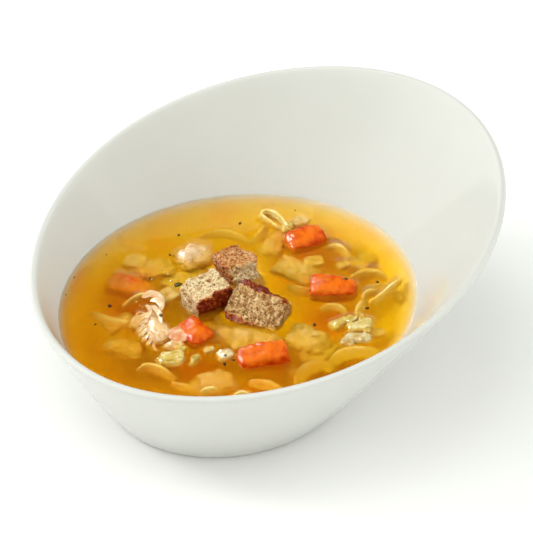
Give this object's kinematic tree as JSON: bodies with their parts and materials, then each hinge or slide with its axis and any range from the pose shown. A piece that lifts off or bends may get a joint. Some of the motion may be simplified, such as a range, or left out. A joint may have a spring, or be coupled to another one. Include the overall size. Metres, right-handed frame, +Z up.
{
  "type": "bowl of chicken noodle soup",
  "caption": "Slanted white oval bowl holding a clear golden noodle soup with chicken, diced carrot, celery and toasted bread cubes; rests on its flat foot.",
  "frame": {"origin": "on the table, below the middle of the bowl's rim (the middle of the object's footprint)", "axes": "+Z up; +Y towards the high end of the slanted rim, -Y towards its low end; +X completes the right-handed frame, across the bowl"},
  "size_m": [0.1898, 0.2127, 0.0907],
  "materials": {
    "porcelain": "white porcelain with a clear gloss glaze",
    "broth": "clear golden stock, wet and smooth",
    "toasted_bread": "open wholemeal crumb with browned crust, dry",
    "carrot": "cooked carrot, wet",
    "chicken": "poached chicken, fibrous and moist",
    "celery": "cooked celery, glassy and wet",
    "onion": "cooked onion, glassy and wet",
    "egg_noodle": "boiled egg noodle, smooth and moist"
  },
  "bodies": {
    "root": {"bowl": "porcelain", "broth": "broth", "carrot_back": "carrot", "carrot_front": "carrot", "carrot_left": "carrot", "carrot_middle": "carrot", "carrot_right": "carrot", "celery_left": "celery", "celery_left_end": "celery", "celery_right": "celery", "celery_right_end": "celery", "chicken_back_left": "chicken", "chicken_flap": "chicken", "chicken_front": "chicken", "chicken_pulled": "chicken", "chicken_right": "chicken", "crouton_back": "toasted_bread", "crouton_front": "toasted_bread", "crouton_left": "toasted_bread", "noodle_back_arc": "egg_noodle", "noodle_back_loop": "egg_noodle", "noodle_front_curl": "egg_noodle", "noodle_front_fold": "egg_noodle", "noodle_front_left": "egg_noodle", "noodle_front_right": "egg_noodle", "noodle_front_tip": "egg_noodle", "noodle_left_arc": "egg_noodle", "noodle_right_long": "egg_noodle", "noodle_right_short": "egg_noodle", "onion_back": "onion", "onion_middle": "onion", "onion_right": "onion"}
  },
  "joints": []
}
